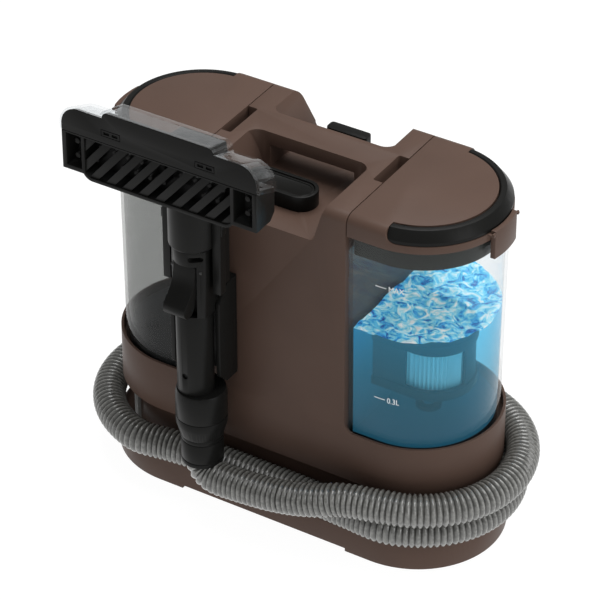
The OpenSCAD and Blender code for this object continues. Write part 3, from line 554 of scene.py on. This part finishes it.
def water_top_material():
    """Choppy surface with painted light: painted pale highlights, cyan body and painted deep blue shade lines
    between the waves, all glowing by emission.
    """
    m = Nodes("water_top")
    warp = m.add("ShaderNodeTexNoise", {"Vector": m.place, "Scale": 60.0, "Detail": 3.0})
    shifted = m.add("ShaderNodeMix", {"Factor": 0.018}, data_type="VECTOR")
    m.plug(m.place, shifted.inputs[4])
    m.plug(warp.outputs["Color"], shifted.inputs[5])
    cells = m.add("ShaderNodeTexVoronoi", {"Vector": shifted.outputs[1], "Scale": 95.0},
                  feature="DISTANCE_TO_EDGE").outputs["Distance"]
    waves = m.add("ShaderNodeTexNoise", {"Vector": m.place, "Scale": 120.0, "Detail": 5.0,
                                         "Distortion": 1.4}).outputs[0]
    # Wave colour ramp: the white stops are painted highlights and the deep blue stops are painted shade.
    painted_wave_light = m.ramp(waves, [(0.34, (0.003, 0.09, 0.42)), (0.41, (0.02, 0.36, 0.80)), (0.48, (0.12, 0.62, 0.90)),
                          (0.56, (0.40, 0.84, 0.97)), (0.66, (0.95, 1.0, 1.0))])
    m.plug(painted_wave_light, m.shader.inputs["Base Color"])
    m.shader.inputs["Roughness"].default_value = 0.06
    m.shader.inputs["Specular IOR Level"].default_value = 0.8
    m.plug(m.bump(waves, 0.6, 0.004), m.shader.inputs["Normal"])
    # Emission of the same wave colours: painted glow, the water is no lamp.
    m.shader.inputs["Emission Strength"].default_value = 0.6
    m.plug(painted_wave_light, m.shader.inputs["Emission Color"])
    solid = m.spread(cells, 0.75, 0.45)
    see_through(m, solid, (0.60, 0.88, 0.98, 1))
    return m.material


def on_tank_front(x, z, lift=0.08):
    """The point of the tank's outer skin that lies x along it, measured flat from the middle of the body."""
    radius = tank_radius(z) + lift
    if x <= END_X:
        return Vector((x, -radius, z)) * MM
    angle = (x - END_X) / radius
    return Vector((END_X + radius * math.sin(angle), -radius * math.cos(angle), z)) * MM


MARK_X, WORD_X = 84.5, 94.0
WORD_SIZE, WORD_SQUEEZE, WORD_DROP = 6.2, 0.82, 2.1
TICK_STEPS, TICK_HALF = 9, 0.3
PRINT_LOW, PRINT_HIGH = 0.04, 0.1


def level_mark(name, words, z):
    """A tick and a generic level word printed on the front of the tank."""
    curve = bpy.data.curves.new(name, "FONT")
    curve.body = words
    curve.size = WORD_SIZE
    curve.extrude = 0.03
    text = new_object(name + "_text", curve)
    graph = bpy.context.evaluated_depsgraph_get()
    mesh = bpy.data.meshes.new_from_object(text.evaluated_get(graph))
    bpy.data.objects.remove(text)
    work = bmesh.new()
    work.from_mesh(mesh)
    bmesh.ops.triangulate(work, faces=work.faces)
    bmesh.ops.subdivide_edges(work, edges=[e for e in work.edges if e.calc_length() > 1.2], cuts=1)
    for v in work.verts:
        v.co = on_tank_front(WORD_X + v.co.x * WORD_SQUEEZE, z - WORD_DROP + v.co.y, 0.08 + v.co.z)
    section = [(-TICK_HALF, PRINT_LOW), (TICK_HALF, PRINT_LOW),
               (TICK_HALF, PRINT_HIGH), (-TICK_HALF, PRINT_HIGH)]
    ring = [[work.verts.new(on_tank_front(MARK_X + i, z + dz, lift)) for dz, lift in section]
            for i in range(TICK_STEPS)]
    for a, b in zip(ring, ring[1:]):
        for k in range(4):
            n = (k + 1) % 4
            work.faces.new((a[k], a[n], b[n], b[k]))
    work.faces.new(ring[0][::-1])
    work.faces.new(ring[-1])
    work.to_mesh(mesh)
    work.free()
    tidy_normals(mesh)
    piece = new_object(name, mesh)
    place(piece, "clean_tank", "filter_paper", materials["white_print"])


def make_pleats():
    """Pleated paper round the inside of the filter housing."""
    x_end, x_flat = 98.0, 67.0
    z0, z1 = 127.0, 158.5
    outer, fold, inner, step = 25.3, 2.6, 20.0, 1.5
    stations = []
    straight = int((x_end - x_flat) / step)
    for i in range(straight):
        stations.append((Vector((x_flat + step * i, 0)), Vector((0, -1))))
    turns = int(math.pi * outer / step)
    for i in range(turns + 1):
        a = math.radians(-90 + 180 * i / turns)
        stations.append((Vector((x_end, 0)), Vector((math.cos(a), math.sin(a)))))
    for i in range(straight):
        stations.append((Vector((x_end - step * (i + 1), 0)), Vector((0, 1))))
    vertices, faces = [], []
    for i, (middle, out) in enumerate(stations):
        radius = outer - (fold if i % 2 else 0)
        for r, z in ((radius, z0), (radius, z1), (inner, z1), (inner, z0)):
            p = middle + out * r
            vertices.append(Vector((p.x, p.y, z)) * MM)
    for i in range(len(stations) - 1):
        for k in range(4):
            n = (k + 1) % 4
            faces.append((i * 4 + k, i * 4 + n, (i + 1) * 4 + n, (i + 1) * 4 + k))
    faces.append((3, 2, 1, 0))
    last = (len(stations) - 1) * 4
    faces.append((last, last + 1, last + 2, last + 3))
    piece = mesh_object("pleats", vertices, faces, smooth_angle=20)
    place(piece, "clean_tank", "filter_paper", materials["filter_paper"], ["pleated_filter"])


materials["white_print"] = moulded("white_print", (0.85, 0.85, 0.85), 0.6)
make_water()
level_mark("full_mark", "MAX", 227)
level_mark("low_mark", "0.3L", 136)
make_pleats()

# ---------------------------------------------------------------- stage


FLOOR_HALF = 15
FLOOR_DROP = 0.2 * MM


def make_stage():
    corners = [(-FLOOR_HALF, -FLOOR_HALF, 0), (FLOOR_HALF, -FLOOR_HALF, 0),
               (FLOOR_HALF, FLOOR_HALF, 0), (-FLOOR_HALF, FLOOR_HALF, 0)]
    floor = mesh_object("floor", corners, [(0, 1, 2, 3)])
    look = Nodes("floor")
    look.shader.inputs["Base Color"].default_value = (0.12, 0.12, 0.12, 1)
    look.shader.inputs["Emission Color"].default_value = (1, 1, 1, 1)
    look.shader.inputs["Emission Strength"].default_value = 0.96
    look.shader.inputs["Roughness"].default_value = 0.9
    look.shader.inputs["Specular IOR Level"].default_value = 0.1
    floor.data.materials.append(look.material)
    floor.location.z = -FLOOR_DROP


def add_light(name, size, energy, location, target, colour=(1, 1, 1)):
    data = bpy.data.lights.new(name, "AREA")
    data.shape = "RECTANGLE"
    data.size, data.size_y = size
    data.energy = energy
    data.color = colour
    lamp = bpy.data.objects.new(name, data)
    bpy.context.scene.collection.objects.link(lamp)
    lamp.location = location
    aim = Vector(location) - Vector(target)
    lamp.rotation_euler = aim.to_track_quat("Z", "Y").to_euler()


def make_light():
    world = bpy.data.worlds.new("studio")
    world.use_nodes = True
    background = world.node_tree.nodes["Background"]
    background.inputs["Color"].default_value = (1, 1, 1, 1)
    background.inputs["Strength"].default_value = 0.33
    bpy.context.scene.world = world
    bpy.context.scene.view_settings.view_transform = "Standard"
    add_light("top_softbox", (1.6, 1.2), 30, (0.1, 0.3, 1.75), (0, 0, 0.15))
    add_light("right_softbox", (0.7, 1.2), 7, (1.5, -0.2, 0.7), (0, 0, 0.15))


make_stage()
make_light()
